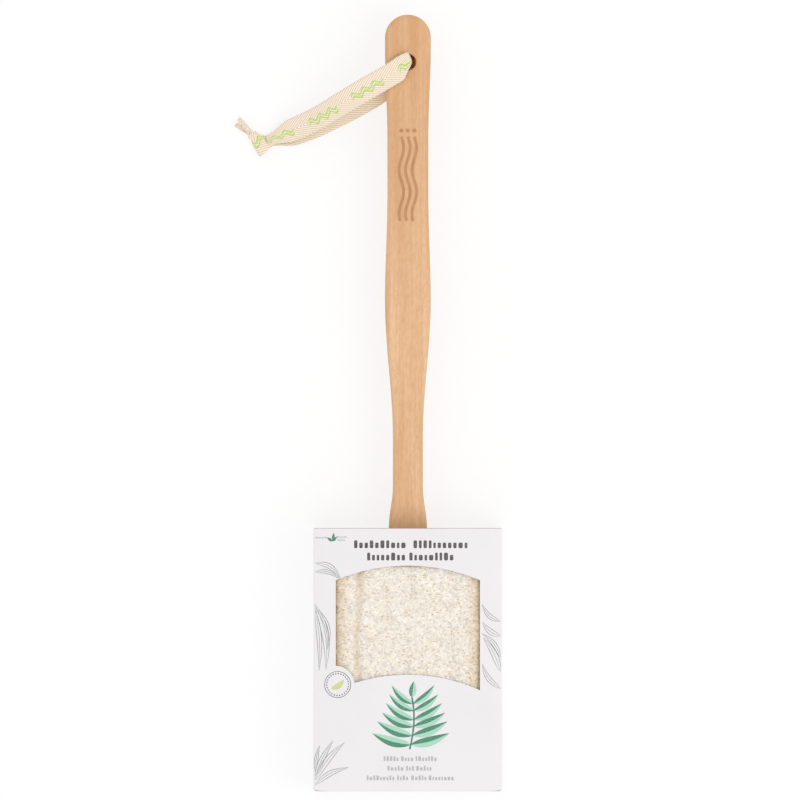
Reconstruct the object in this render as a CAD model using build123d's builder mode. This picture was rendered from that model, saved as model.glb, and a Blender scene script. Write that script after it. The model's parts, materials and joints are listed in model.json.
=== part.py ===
from build123d import *
import math
import os

# A loofah back scrubber in its shop carton, in millimetres.
# It lies on its back: +Z points up, out of the loofah face, and +Y runs to the handle's round end.
# The origin is on the surface that it lies on, under the middle of the carton and handle together.

# ---------------------------------------------------------------- driving dimensions
overall_length = 405.5  # the carton's lower edge to the handle's round end

# carton
carton_width = 98.4
carton_height = 137.1
carton_depth = 42.0
card = 0.5  # thickness of the card
crease_gap = 0.15  # between two flaps that fold over each other
flap_clearance = 0.3  # between a flap's edge and the panel that it closes against
window_half_width = 37.6
window_top_drop = 26.9  # from the carton's top to the ends of the window's upper arch
window_top_rise = 7.6
window_bottom_drop = 84.3  # from the carton's top to the ends of the window's lower arch
window_bottom_rise = 8.1
window_corner = 1.0
tongue_radius = 9.7  # the round tongue that cuts into the window's lower left corner
tongue_drop = 81.3
lip_length = 10.0
lip_lean = 7.3  # degrees that the tuck lip leans in from the front panel
lip_corner = 7.0
dust_flap_reach = 32.0
dust_flap_root = 1.5  # height at which a dust flap's rear edge starts
dust_flap_slope = 17.0  # how far its rear edge climbs over the reach
dust_flap_shoulder = 3.0  # how far its front edge drops over the reach
lip_room = 1.3  # between a dust flap's front edge and the tuck lip's root
glue_tab_width = 12.0
glue_tab_taper = 6.0
glue_tab_inset = 1.5

# handle
handle_thickness = 10.0
handle_rounding = 3.0
end_half_width = 12.0
end_straight = 17.4  # from the round end to where the waist begins
grip_half_width = 10.7
grip_start = 64.4
grip_end = 95.0
swell_half_width = 12.0
swell_at = 149.0
neck_half_width = 7.85
neck_start = 221.0
flare_length = 22.0  # the flare from the neck to the tang, ending level with the carton's top
tang_half_width = 10.0
tang_length = 100.0  # below the carton's top
hole_radius = 4.25
hole_from_end = 24.85
hole_rounding = 0.8
same_size = 0.01  # two radii closer than this are the same

# head
head_width = 88.0
head_height = 124.0
head_thickness = 36.0
head_corner = 18.0
head_rounding = 10.0
head_end_gap = 2.0  # between the binding and the dust flaps
loofah_thickness = 9.0
core_rounding = 5.0
binding_width = 14.0
binding_thickness = 1.2
seam_width = 0.8
seam_proud = 0.5
lashing_thread = 1.2
lashing_half_width = 5.6
lashing_first = 7.0  # below the head's top
lashing_turns = 2
lashing_pitch = 3.0

# cotton tape
tape_width = 12.0
tape_thickness = 0.8
loop_angle = 209.0  # direction of the loop from the hole, in degrees from +X
fold_width = 6.4  # the tape folded to pass the hole
fold_thickness = 3.2
fold_corner = 0.8
fold_stand_off = 1.3  # how far the fold stands out of the handle's faces
knot_reach = 89.0  # from the hole to the middle of the knot
knot_length = 12.4
knot_width = 9.6
knot_height = 5.2
knot_turn = -63.0
knot_corner = 3.2
knot_rounding = 1.6
knot_base_rounding = 0.8
tail_length = 11.0
tail_width = 3.2
tail_thickness = 1.2
tail_turns = (129.0, 148.0)
tail_heights = (2.4, 0.6)

# Routes of the two strands. Each point is a distance from the hole's axis, and a height in two parts:
# a share of the height of the handle's nearer face, and a lift on top of that.
front_rises = [
    (1.6, 1.0, 0.9),
    (13.5, 1.0, 1.3),
    (26.5, 1.0, 0.6),
    (39.0, 0.85, 0.5),
    (53.0, 0.5, 0.9),
    (66.0, 0.2, 1.7),
    (77.0, 0.05, 2.1),
    (84.5, 0.0, 2.6),
]
back_rises = [
    (1.6, 1.0, -0.9),
    (13.5, 1.0, -1.1),
    (26.0, 0.9, -1.2),
    (39.0, 0.6, -0.2),
    (52.0, 0.3, 0.2),
    (65.0, 0.1, 0.5),
    (76.0, 0.0, 1.2),
    (84.5, 0.0, 1.5),
]
run_share = 0.45  # share of the shorter run that each arc of a route may take up

# ---------------------------------------------------------------- levels that follow
low = -overall_length / 2
high = overall_length / 2
carton_top = low + carton_height
middle = carton_depth / 2
handle_back = middle - handle_thickness / 2
handle_front = middle + handle_thickness / 2
hole_y = high - hole_from_end
dust_level = low + card + crease_gap  # outer face of the dust flaps
head_low = dust_level + card + head_end_gap + binding_thickness
head_middle = head_low + head_height / 2
head_top = head_low + head_height
head_back = middle - head_thickness / 2
head_front = middle + head_thickness / 2
fold_axis = card / 2  # creases turn about the middle of the card
front_route = [(reach, share * handle_front + lift) for reach, share, lift in front_rises]
back_route = [(reach, share * handle_back + lift) for reach, share, lift in back_rises]


def save(piece, name):
    """Labels a finished piece and writes it."""
    piece.part.label = name
    export_step(piece.part, f"parts/{name}.step")


os.makedirs("parts", exist_ok=True)

# ---------------------------------------------------------------- lashing
# Loops of thread hold the head on the tang. They are made first, so that the rest is cut to them.
with BuildPart() as tang_lashing:
    for turn in range(lashing_turns):
        level = head_top - lashing_first - turn * lashing_pitch
        with BuildSketch(Plane.XZ.offset(-level)):
            with Locations((0, middle)):
                Rectangle(2 * lashing_half_width, head_thickness)
                Rectangle(
                    2 * (lashing_half_width - lashing_thread),
                    head_thickness - 2 * lashing_thread,
                    mode=Mode.SUBTRACT,
                )
        extrude(amount=lashing_thread)
save(tang_lashing, "tang_lashing")

# ---------------------------------------------------------------- handle
with BuildPart() as handle:
    with BuildSketch(Plane.XY.offset(handle_back)):
        with BuildLine():
            down = (0, -1)
            waist = (end_half_width, high - end_straight)
            grip_top = (grip_half_width, high - grip_start)
            grip_low = (grip_half_width, high - grip_end)
            swell = (swell_half_width, high - swell_at)
            neck_top = (neck_half_width, high - neck_start)
            neck_low = (neck_half_width, carton_top + flare_length)
            tang_top = (tang_half_width, carton_top)
            tang_low = (tang_half_width, carton_top - tang_length + tang_half_width)
            RadiusArc((0, high), (end_half_width, high - end_half_width), end_half_width)
            Line((end_half_width, high - end_half_width), waist)
            Spline(waist, grip_top, tangents=(down, down))
            Line(grip_top, grip_low)
            Spline(grip_low, swell, tangents=(down, down))
            Spline(swell, neck_top, tangents=(down, down))
            Line(neck_top, neck_low)
            Spline(neck_low, tang_top, tangents=(down, down))
            Line(tang_top, tang_low)
            RadiusArc(tang_low, (0, carton_top - tang_length), tang_half_width)
            mirror(about=Plane.YZ)
        make_face()
    extrude(amount=handle_thickness)
    fillet(faces().sort_by(Axis.Z)[0].edges(), handle_rounding)
    fillet(faces().sort_by(Axis.Z)[-1].edges(), handle_rounding)
    with Locations((0, hole_y, handle_front)):
        Hole(hole_radius)
    rounds = handle.edges().filter_by(GeomType.CIRCLE)
    mouths = rounds.filter_by(lambda edge: abs(edge.radius - hole_radius) < same_size)
    fillet(mouths, hole_rounding)
    add(tang_lashing.part, mode=Mode.SUBTRACT)
save(handle, "handle")

# ---------------------------------------------------------------- head
# The outer form and the core's form are shared by the pieces that are cut from them.
with BuildPart() as head_form:
    with BuildSketch(Plane.XY.offset(head_back)):
        with Locations((0, head_middle)):
            RectangleRounded(head_width, head_height, head_corner)
    extrude(amount=head_thickness)
    fillet(faces().sort_by(Axis.Z)[0].edges(), head_rounding)
    fillet(faces().sort_by(Axis.Z)[-1].edges(), head_rounding)

with BuildPart() as core_form:
    with BuildSketch(Plane.XY.offset(head_back + loofah_thickness)):
        with Locations((0, head_middle)):
            RectangleRounded(
                head_width - 2 * loofah_thickness,
                head_height - 2 * loofah_thickness,
                head_corner - loofah_thickness,
            )
    extrude(amount=head_thickness - 2 * loofah_thickness)
    fillet(faces().sort_by(Axis.Z)[0].edges(), core_rounding)
    fillet(faces().sort_by(Axis.Z)[-1].edges(), core_rounding)

with BuildPart() as core_padding:
    add(core_form.part)
    add(handle.part, mode=Mode.SUBTRACT)
    add(tang_lashing.part, mode=Mode.SUBTRACT)
save(core_padding, "core_padding")

with BuildPart() as loofah_front_pad:
    add(head_form.part)
    split(bisect_by=Plane.XY.offset(middle), keep=Keep.TOP)
    add(core_form.part, mode=Mode.SUBTRACT)
    add(handle.part, mode=Mode.SUBTRACT)
    add(tang_lashing.part, mode=Mode.SUBTRACT)
save(loofah_front_pad, "loofah_front_pad")

with BuildPart() as loofah_rear_pad:
    add(head_form.part)
    split(bisect_by=Plane.XY.offset(middle), keep=Keep.BOTTOM)
    add(core_form.part, mode=Mode.SUBTRACT)
    add(handle.part, mode=Mode.SUBTRACT)
    add(tang_lashing.part, mode=Mode.SUBTRACT)
save(loofah_rear_pad, "loofah_rear_pad")


def edge_band(inner, outer, height):
    """A band round the head's edge, from inner to outer proud of it, slit where the handle enters."""
    with BuildPart() as band:
        with BuildSketch(Plane.XY.offset(middle - height / 2)):
            with Locations((0, head_middle)):
                RectangleRounded(head_width + 2 * outer, head_height + 2 * outer, head_corner + outer)
                RectangleRounded(
                    head_width + 2 * inner,
                    head_height + 2 * inner,
                    head_corner + inner,
                    mode=Mode.SUBTRACT,
                )
        extrude(amount=height)
        add(handle.part, mode=Mode.SUBTRACT)
    return band


edge_binding = edge_band(0, binding_thickness, binding_width)
save(edge_binding, "edge_binding")
binding_thread = edge_band(binding_thickness, binding_thickness + seam_proud, seam_width)
save(binding_thread, "binding_thread")

# ---------------------------------------------------------------- hanging tape
loop_x = math.cos(math.radians(loop_angle))
loop_y = math.sin(math.radians(loop_angle))
loop_plane = Plane(origin=(0, hole_y, 0), x_dir=(loop_x, loop_y, 0), z_dir=(loop_y, -loop_x, 0))
knot_x = knot_reach * loop_x
knot_y = hole_y + knot_reach * loop_y

with BuildPart() as tape_in_hole:
    with BuildSketch(Plane.XY.offset(handle_back - fold_stand_off)):
        with Locations(Location((0, hole_y, 0), (0, 0, loop_angle))):
            RectangleRounded(fold_thickness, fold_width, fold_corner)
    extrude(amount=handle_thickness + 2 * fold_stand_off)
save(tape_in_hole, "tape_in_hole")

with BuildPart() as tape_knot:
    with BuildSketch(Plane.XY):
        with Locations(Location((knot_x, knot_y, 0), (0, 0, knot_turn))):
            RectangleRounded(knot_length, knot_width, knot_corner)
    extrude(amount=knot_height)
    fillet(faces().sort_by(Axis.Z)[0].edges(), knot_base_rounding)
    fillet(faces().sort_by(Axis.Z)[-1].edges(), knot_rounding)
save(tape_knot, "tape_knot")

with BuildPart() as tape_tails:
    neck_x = knot_x - knot_length / 2 * math.cos(math.radians(knot_turn))
    neck_y = knot_y - knot_length / 2 * math.sin(math.radians(knot_turn))
    for turn, height in zip(tail_turns, tail_heights):
        with BuildSketch(Plane.XY.offset(height)):
            with Locations(Location((neck_x, neck_y, 0), (0, 0, turn))):
                Rectangle(tail_length, tail_width, align=(Align.MIN, Align.CENTER))
        extrude(amount=tail_thickness)
    add(tape_knot.part, mode=Mode.SUBTRACT)
save(tape_tails, "tape_tails")


def arc_radii(points):
    """The radius of the arc at each corner of a route, from the shorter run beside it and half the turn."""
    radii = []
    for before, corner, after in zip(points, points[1:], points[2:]):
        arriving = Vector(*corner) - Vector(*before)
        leaving = Vector(*after) - Vector(*corner)
        half_turn = math.radians(arriving.get_angle(leaving)) / 2
        radii.append(run_share * min(arriving.length, leaving.length) / math.tan(half_turn))
    return radii


def strand(route, name):
    """A flat strand of tape along a route in the loop's upright plane, from the hole to the knot."""
    radii = arc_radii(route)
    start = loop_plane.from_local_coords(Vector(*route[0]))
    heading = loop_plane.from_local_coords(Vector(*route[1])) - start
    with BuildPart() as tape:
        with BuildLine(loop_plane) as line:
            FilletPolyline(*route, radius=radii)
        with BuildSketch(Plane(origin=start, x_dir=loop_plane.z_dir, z_dir=heading)):
            Rectangle(tape_width, tape_thickness)
        sweep()
    length = line.wires()[0].length
    ratio = tape.part.volume / (length * tape_width * tape_thickness)
    print(f"{name}: length {length:.1f}, radii {[round(r) for r in radii]}")
    print(f"{name}: volume {ratio:.4f} of section times length")
    with BuildPart() as cut:
        add(tape.part)
        add(tape_knot.part, mode=Mode.SUBTRACT)
        add(tape_in_hole.part, mode=Mode.SUBTRACT)
    save(cut, name)


strand(front_route, "tape_front_strand")
strand(back_route, "tape_back_strand")

# ---------------------------------------------------------------- carton
inner_half_width = carton_width / 2 - card


def panel(name, x, y, z):
    """A flat panel of card between the given pairs of limits."""
    with BuildPart() as board:
        with Locations((x[0], y[0], z[0])):
            Box(x[1] - x[0], y[1] - y[0], z[1] - z[0], align=(Align.MIN, Align.MIN, Align.MIN))
    save(board, name)


half = carton_width / 2
side_low = dust_level + card + 2 * crease_gap
panel("carton_back_panel", (-half, half), (low + card + 2 * crease_gap, carton_top), (0, card))
panel("carton_left_panel", (-half, -inner_half_width), (side_low, carton_top), (card, carton_depth - card))
panel("carton_right_panel", (inner_half_width, half), (side_low, carton_top), (card, carton_depth - card))

with BuildPart() as carton_front_panel:
    with BuildSketch(Plane.XY.offset(carton_depth - card)):
        with Locations((0, (low + carton_top) / 2)):
            Rectangle(carton_width, carton_height)
        with BuildSketch(Plane.XY.offset(carton_depth - card), mode=Mode.PRIVATE) as window:
            with BuildLine():
                top_side = carton_top - window_top_drop
                low_side = carton_top - window_bottom_drop
                top_left = (-window_half_width, top_side)
                top_right = (window_half_width, top_side)
                low_left = (-window_half_width, low_side)
                low_right = (window_half_width, low_side)
                ThreePointArc(top_left, (0, top_side + window_top_rise), top_right)
                Line(top_right, low_right)
                ThreePointArc(low_right, (0, low_side + window_bottom_rise), low_left)
                Line(low_left, top_left)
            make_face()
            with Locations((-window_half_width, carton_top - tongue_drop)):
                Circle(tongue_radius, mode=Mode.SUBTRACT)
            fillet(window.vertices(), window_corner)
        add(window.sketch, mode=Mode.SUBTRACT)
    extrude(amount=card)
save(carton_front_panel, "carton_front_panel")

with BuildPart() as carton_glue_tab:
    with BuildSketch(Plane.YZ.offset(-inner_half_width)):
        with BuildLine():
            tab_low = side_low + glue_tab_inset
            tab_top = carton_top - glue_tab_inset
            Polyline(
                (tab_low, card),
                (tab_low + glue_tab_taper, card + glue_tab_width),
                (tab_top - glue_tab_taper, card + glue_tab_width),
                (tab_top, card),
                close=True,
            )
        make_face()
    extrude(amount=card)
save(carton_glue_tab, "carton_glue_tab")

# The bottom flap turns about the rear crease. Its lip tucks in behind the front panel.
flap_half = inner_half_width - flap_clearance
flap_front = carton_depth - card - flap_clearance
panel("carton_bottom_flap", (-flap_half, flap_half), (low, low + card), (0, flap_front))

lip_slant = math.radians(lip_lean)
lip_plane = Plane(
    origin=(0, low + card + crease_gap / 2, flap_front),
    x_dir=(1, 0, 0),
    z_dir=(0, math.sin(lip_slant), math.cos(lip_slant)),
)
with BuildPart() as carton_tuck_lip:
    with BuildSketch(lip_plane) as lip:
        with Locations((0, lip_length / 2)):
            Rectangle(2 * flap_half, lip_length)
        fillet(lip.vertices().group_by(Axis.Y)[-1], lip_corner)
    extrude(amount=-card)
save(carton_tuck_lip, "carton_tuck_lip")


def dust_flap(side, name):
    """One of the two flaps under the tuck flap. side is 1 for the right, -1 for the left."""
    with BuildPart() as flap:
        with BuildSketch(Plane.XZ.offset(-dust_level)):
            with BuildLine():
                root = side * half
                tip = side * (half - fold_axis - dust_flap_reach)
                front = flap_front - card - lip_room
                Polyline(
                    (root, dust_flap_root),
                    (tip, dust_flap_root + dust_flap_slope),
                    (tip, front - dust_flap_shoulder),
                    (root, front),
                    close=True,
                )
            make_face()
        extrude(amount=-card)
    save(flap, name)


dust_flap(-1, "dust_flap_left")
dust_flap(1, "dust_flap_right")
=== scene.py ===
import json
import math
import random

import bpy
import numpy as np
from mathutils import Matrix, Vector, noise


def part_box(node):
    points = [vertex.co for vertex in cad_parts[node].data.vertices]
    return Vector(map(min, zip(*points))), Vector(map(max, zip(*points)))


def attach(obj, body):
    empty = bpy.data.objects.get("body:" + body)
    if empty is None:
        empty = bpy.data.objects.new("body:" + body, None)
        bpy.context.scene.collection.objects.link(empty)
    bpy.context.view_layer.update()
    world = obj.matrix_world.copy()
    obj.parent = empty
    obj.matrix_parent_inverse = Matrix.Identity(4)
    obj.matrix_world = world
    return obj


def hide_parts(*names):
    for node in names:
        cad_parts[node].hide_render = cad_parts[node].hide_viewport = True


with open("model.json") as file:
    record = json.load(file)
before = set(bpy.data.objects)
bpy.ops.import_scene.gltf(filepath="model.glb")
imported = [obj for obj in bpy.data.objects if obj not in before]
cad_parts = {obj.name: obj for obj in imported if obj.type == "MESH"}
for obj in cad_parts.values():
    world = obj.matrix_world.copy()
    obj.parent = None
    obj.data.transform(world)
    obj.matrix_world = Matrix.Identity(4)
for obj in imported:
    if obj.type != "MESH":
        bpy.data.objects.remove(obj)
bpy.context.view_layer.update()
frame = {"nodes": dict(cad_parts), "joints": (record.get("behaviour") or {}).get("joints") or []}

# The looks of a loofah back scrubber in its window carton. Everything is in metres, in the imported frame:
# +Z is up, out of the loofah face, and +Y runs to the hanging hole.

MM = 0.001
SEED = 11
random.seed(SEED)
dice = np.random.default_rng(SEED)


# ---------------------------------------------------------------- places from the frame
def span(node, axis):
    """The lowest and highest coordinate of a node along an axis, 0 to 2."""
    low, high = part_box(node)
    return low[axis], high[axis]


CARD_HALF = span("carton_front_panel", 0)[1]
CARD_LOW, CARD_TOP = span("carton_front_panel", 1)
CARD_INNER, CARD_FRONT = span("carton_front_panel", 2)
CARD_THICK = CARD_FRONT - CARD_INNER
HANDLE_BACK, HANDLE_FRONT = span("handle", 2)
HEAD_HALF = span("loofah_front_pad", 0)[1]
HEAD_LOW, HEAD_TOP = span("loofah_front_pad", 1)
HEAD_BACK = span("loofah_rear_pad", 2)[0]
HEAD_FRONT = span("loofah_front_pad", 2)[1]
HEAD_MIDDLE = (HEAD_LOW + HEAD_TOP) / 2
LEVEL = (HANDLE_BACK + HANDLE_FRONT) / 2
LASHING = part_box("tang_lashing")
THREAD_RADIUS = 0.6 * MM
# The lashing's two turns lie closer together than in the CAD, so that neither shows in the window.
TURNS = (LASHING[0].y + 2.0 * MM, LASHING[1].y - THREAD_RADIUS)
HOLE = Vector(next(j["pos_m"] for j in frame["joints"] if j["name"] == "tape_swing"))
# The furrows down the loofah: place across it, depth and width, in millimetres. The first is the plain one.
FURROWS = ((-25.6, 1.5, 1.5), (0.3, 0.5, 1.2), (23.0, 0.6, 1.0))
FURROW_SWAY, FURROW_WAVE = 1.1, 17 * MM


# ---------------------------------------------------------------- shader helpers
def srgb(red, green, blue):
    """A linear colour from display values of 11 to 255."""
    return [((c / 255 + 0.055) / 1.055) ** 2.4 for c in (red, green, blue)] + [1.0]


class Nodes:
    """Builds one material. Any input is a number, a colour or another node's output.

    Places are in metres, so a texture's scale is in cycles for each metre.
    """

    def __init__(self, name, roughness=0.6, **sockets):
        self.material = bpy.data.materials.new(name)
        self.material.use_nodes = True
        self.tree = self.material.node_tree
        self.shader = self.tree.nodes["Principled BSDF"]
        self.shader.inputs["Roughness"].default_value = roughness
        for key, value in sockets.items():
            self.shader.inputs[key.replace("_", " ")].default_value = value

    def feed(self, socket, value):
        if isinstance(value, bpy.types.NodeSocket):
            self.tree.links.new(value, socket)
        else:
            socket.default_value = value

    def add(self, kind, settings=None, **inputs):
        node = self.tree.nodes.new("ShaderNode" + kind)
        for key, value in (settings or {}).items():
            setattr(node, key, value)
        for key, value in inputs.items():
            self.feed(node.inputs[key.replace("_", " ")], value)
        return node

    def place(self):
        return self.add("TexCoord").outputs["Object"]

    def uv(self):
        return self.add("UVMap", {"uv_map": "tape"}).outputs["UV"]

    def split(self, vector):
        """The vector's three numbers."""
        return self.add("SeparateXYZ", Vector=vector).outputs

    def stretched(self, vector, x, y, z):
        node = self.add("VectorMath", {"operation": "MULTIPLY"})
        self.feed(node.inputs[0], vector)
        node.inputs[1].default_value = (x, y, z)
        return node.outputs[0]

    def noise(self, vector, scale=1.0, detail=3.0):
        return self.add("TexNoise", Vector=vector, Scale=scale, Detail=detail).outputs["Fac"]

    def cells(self, vector):
        return self.add("TexVoronoi", Vector=vector, Scale=1.0).outputs["Distance"]

    def math(self, operation, first, second=0.0):
        node = self.add("Math", {"operation": operation})
        self.feed(node.inputs[0], first)
        self.feed(node.inputs[1], second)
        return node.outputs[0]

    def times(self, first, second):
        return self.math("MULTIPLY", first, second)

    def plus(self, first, second):
        return self.math("ADD", first, second)

    def remap(self, value, low, high, to_low=0.0, to_high=1.0):
        """Carries low to high over to to_low to to_high, and stops at both ends."""
        node = self.add("MapRange", {"clamp": True})
        for index, item in enumerate((value, low, high, to_low, to_high)):
            self.feed(node.inputs[index], item)
        return node.outputs[0]

    def mix(self, factor, first, second, blend="MIX"):
        node = self.add("Mix", {"data_type": "RGBA", "blend_type": blend})
        self.feed(node.inputs[0], factor)
        self.feed(node.inputs[6], first)
        self.feed(node.inputs[7], second)
        return node.outputs[2]

    def bump(self, height, distance, strength=1.0):
        """distance is the height, in metres, that a value of 1 stands for."""
        node = self.add("Bump", Height=height, Distance=distance, Strength=strength)
        self.feed(self.shader.inputs["Normal"], node.outputs["Normal"])

    def colour(self, value):
        self.feed(self.shader.inputs["Base Color"], value)

    def rough(self, value):
        self.feed(self.shader.inputs["Roughness"], value)


# ---------------------------------------------------------------- materials
def wood(name, burn=0.0):
    """Oiled beech with its grain along Y. burn darkens it, as a hot stamp does."""
    n = Nodes(name, Specular_IOR_Level=0.35)
    place = n.place()
    sway = 4 * MM
    warp = n.noise(n.stretched(place, 40, 5, 40), detail=2)
    bent = n.add("VectorMath", {"operation": "ADD"})
    n.feed(bent.inputs[0], place)
    n.feed(bent.inputs[1], n.stretched(n.add("CombineXYZ", X=warp).outputs[0], sway, 0, 0))
    place = bent.outputs[0]
    broad = n.noise(n.stretched(place, 150, 7, 150), detail=3)
    streak = n.noise(n.stretched(place, 700, 14, 700), detail=4)
    fine = n.noise(n.stretched(place, 2600, 70, 2600), detail=3)
    fleck = n.cells(n.stretched(place, 900, 210, 900))
    pale = srgb(240, 201, 160)
    warm = srgb(220, 172, 126)
    deep = srgb(188, 136, 92)
    shade = n.mix(n.remap(broad, 0.3, 0.7), pale, warm)
    shade = n.mix(n.remap(streak, 0.45, 0.8, 0.0, 0.32), shade, deep)
    shade = n.mix(n.remap(fine, 0.5, 0.8, 0.0, 0.3), shade, deep)
    mottle = n.noise(n.stretched(place, 700, 260, 700), detail=4)
    shade = n.mix(n.remap(mottle, 0.35, 0.7, 0.0, 0.28), shade, deep)
    shade = n.mix(n.remap(fleck, 0.10, 0.22, 0.30, 0.0), shade, srgb(160, 108, 70))
    # Browner towards the round end, and painted shade near the carton's top, where the carton shades it.
    toasted = n.remap(n.split(place)[1], 20 * MM, 190 * MM, 0.08, 0.42)
    shade = n.mix(toasted, shade, srgb(205, 152, 104))
    # Painted shade: darker just above the carton's top edge.
    painted_carton_shade = n.remap(n.split(place)[1], CARD_TOP, CARD_TOP + 12 * MM, 0.45, 0.0)
    shade = n.mix(painted_carton_shade, shade, srgb(176, 132, 92))
    if burn:
        scorch = n.remap(n.noise(n.stretched(place, 900, 300, 900)), 0.3, 0.7, burn * 0.75, burn)
        shade = n.mix(scorch, shade, srgb(150, 92, 52))
    n.colour(shade)
    n.rough(n.remap(fine, 0.3, 0.7, 0.46, 0.62))
    height = n.plus(n.times(fine, 0.6), n.times(streak, 0.4))
    n.bump(height, 0.06 * MM, 0.6)
    return n.material


def loofah(name, light, dark, pits, relief):
    """Dried loofah: cream fibre with tan in its pores and in its plain furrow, and painted shade in tan along
    its sides.
    """
    n = Nodes(name, roughness=0.8, Specular_IOR_Level=0.2, Sheen_Weight=0.15)
    place = n.place()
    cloud = n.noise(place, 90, detail=3)
    grain = n.noise(place, 900, detail=4)
    pore = n.cells(n.stretched(place, 310, 660, 640))
    strokes = 0.0
    for turn in (0.3, 1.3, 2.4):
        turned = n.add("VectorRotate", Vector=place, Angle=turn).outputs[0]
        threads = n.noise(n.stretched(turned, 420, 2000, 1100), detail=1)
        strokes = n.math("MAXIMUM", strokes, n.remap(threads, 0.50, 0.60))
    shade = n.mix(n.math("SUBTRACT", 1.0, strokes), light, dark)
    shade = n.mix(n.remap(grain, 0.4, 0.75, 0.0, 0.5), shade, dark)
    shade = n.mix(n.remap(cloud, 0.4, 0.7, 0.0, 0.3), shade, dark)
    shade = n.mix(n.remap(pore, 0.15, 0.28, pits, 0.0), shade, srgb(212, 180, 134))
    fleck = n.cells(n.stretched(place, 640, 1500, 1400))
    shade = n.mix(n.remap(fleck, 0.22, 0.34, 0.62, 0.0), shade, srgb(222, 197, 160))
    x, y = n.split(place)[:2]
    # Painted shade: tan along the pad's sides, where the window's edges shade it. The plain furrow is tan as
    # well.
    side_shade_and_furrow_tan = n.plus(n.math("ABSOLUTE", x), n.times(grain, 3 * MM))
    side_shade_and_furrow_tan = n.remap(side_shade_and_furrow_tan, 31.0 * MM, 38.5 * MM, 0.0, 0.55)
    furrow_x = FURROWS[0][0]
    phase = n.plus(n.math("DIVIDE", y, FURROW_WAVE), furrow_x)
    wander = n.times(n.math("SINE", phase), FURROW_SWAY * MM)
    beside = n.math("ABSOLUTE", n.math("SUBTRACT", n.plus(x, -furrow_x * MM), wander))
    furrow = n.remap(n.plus(beside, n.times(grain, 2 * MM)), 0.8 * MM, 3.4 * MM, 0.5, 0.0)
    side_shade_and_furrow_tan = n.math("MAXIMUM", side_shade_and_furrow_tan, n.times(furrow, n.remap(cloud, 0.35, 0.6, 0.35, 1.0)))
    shade = n.mix(side_shade_and_furrow_tan, shade, srgb(232, 204, 158), "MULTIPLY")
    n.colour(shade)
    n.bump(n.plus(n.times(strokes, 2.0), n.noise(place, 2600, detail=3)), relief, 0.7)
    return n.material


def cotton(name, tone, printed=False):
    """Herringbone cotton tape. Its map holds the distance along the tape and across it, in metres."""
    n = Nodes(name, roughness=0.85, Specular_IOR_Level=0.15, Sheen_Weight=0.25)
    rib_pitch, thread_pitch, slope = 2.15 * MM, 0.62 * MM, 1.73
    along, across = n.split(n.uv())[:2]
    rise = n.plus(along, n.times(n.math("ABSOLUTE", across), slope))
    rib = n.math("SINE", n.times(rise, 2 * math.pi / rib_pitch))
    rib = n.remap(rib, -1.0, 1.0)
    thread = n.math("SINE", n.times(across, 2 * math.pi / thread_pitch))
    thread = n.remap(thread, -1.0, 1.0)
    fuzz = n.noise(n.place(), 3200, detail=3)
    cloud = n.noise(n.place(), 60, detail=2)
    hollow = srgb(198, 166, 126)
    shade = n.mix(n.remap(rib, 0.0, 0.45, 0.78, 0.0), tone, hollow)
    shade = n.mix(n.remap(thread, 0.0, 0.5, 0.14, 0.0), shade, hollow)
    shade = n.mix(n.remap(cloud, 0.4, 0.7, 0.0, 0.25), shade, srgb(240, 214, 190))
    if printed:
        shade = n.mix(motif(n, along, across, fuzz), shade, srgb(176, 214, 92))
    # Painted shade in brown on the tape inside the hole and just below it.
    shade = n.mix(painted_hole_shade(n), shade, srgb(250, 156, 80))
    n.colour(shade)
    height = n.plus(n.times(rib, 0.7), n.times(thread, 0.25))
    height = n.plus(height, n.times(fuzz, 0.25))
    n.bump(height, 0.16 * MM, 0.8)
    return n.material


def painted_hole_shade(n):
    """Painted shade, in brown, on the tape inside the hole and just below it, where the hole's walls shade
    it. Returns its strength.
    """
    x, y, z = n.split(n.place())[:3]
    off_x, off_y = n.math("SUBTRACT", x, HOLE.x), n.math("SUBTRACT", y, HOLE.y)
    away = n.math("SQRT", n.plus(n.times(off_x, off_x), n.times(off_y, off_y)))
    near = n.remap(away, 5.5 * MM, 7.5 * MM, 1.0, 0.0)
    above = n.remap(z, HANDLE_BACK - 2.0 * MM, HANDLE_BACK - 1.2 * MM)
    below = n.remap(z, HANDLE_FRONT - 2.5 * MM, HANDLE_FRONT - 0.5 * MM, 1.0, 0.0)
    return n.times(n.times(near, above), n.times(below, 0.85))


def motif(n, along, across, fuzz):
    """A green print of two waves side by side, repeated along the tape. Returns its strength."""
    repeat, half_length, swing, stroke = 29.0 * MM, 9.5 * MM, 1.1 * MM, 0.45 * MM
    soft, wave_length, offset = 0.2 * MM, 6.4 * MM, 40 * MM
    here = n.math("SUBTRACT", n.math("MODULO", n.plus(along, offset), repeat), repeat / 2)
    inside = n.remap(n.math("ABSOLUTE", here), half_length, half_length + soft, 1.0, 0.0)
    wave = n.times(n.math("SINE", n.times(here, 2 * math.pi / wave_length)), swing)
    strength = 0.0
    for shift in (-1.5 * MM, 0.4 * MM):
        away = n.math("ABSOLUTE", n.math("SUBTRACT", across, n.plus(wave, shift)))
        strength = n.math("MAXIMUM", n.remap(away, stroke, stroke + 0.15 * MM, 1.0, 0.0), strength)
    return n.times(n.times(strength, inside), n.remap(fuzz, 0.3, 0.6, 0.55, 0.95))


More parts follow.
